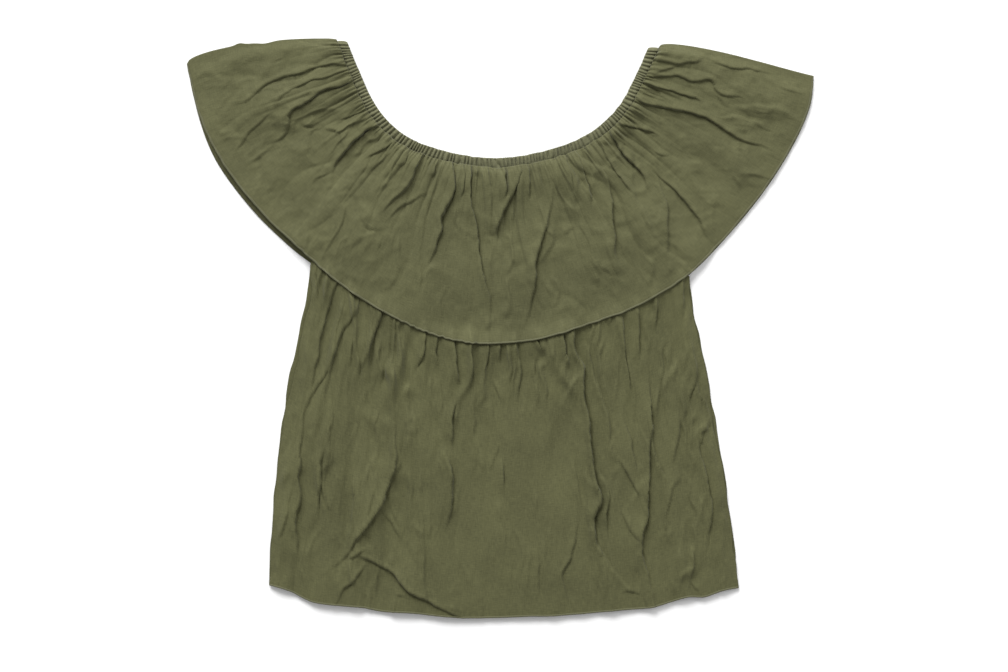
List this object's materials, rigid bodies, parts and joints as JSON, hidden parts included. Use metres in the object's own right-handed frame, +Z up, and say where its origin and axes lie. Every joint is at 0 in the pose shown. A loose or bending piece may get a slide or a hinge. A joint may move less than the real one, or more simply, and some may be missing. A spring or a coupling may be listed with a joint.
{
  "type": "off-shoulder blouse laid flat",
  "caption": "Off-shoulder blouse with a gathered elastic neckline, a wide flounce all round and a loose flared bodice, laid flat with its front up.",
  "frame": {"origin": "middle of the garment's outline seen from above, on the surface that it lies on", "axes": "+X runs across the garment from its left shoulder tip in the view to its right one, +Y runs from the bottom hem to the neckline, and +Z points up from the surface, out of the garment's front"},
  "size_m": [0.7512, 0.694, 0.0165],
  "materials": {
    "flounce_cloth": "plain-woven viscose, soft and matt with a faint sheen on the folds, narrow rolled hem",
    "bodice_cloth": "plain-woven viscose, soft and matt, finely crinkled along its length, narrow turned hem",
    "casing_cloth": "the same viscose gathered tightly over narrow elastic"
  },
  "bodies": {
    "root": {"flounce_front": "flounce_cloth", "flounce_back": "flounce_cloth", "body_front": "bodice_cloth", "body_back": "bodice_cloth", "neck_casing": "casing_cloth"}
  },
  "joints": []
}
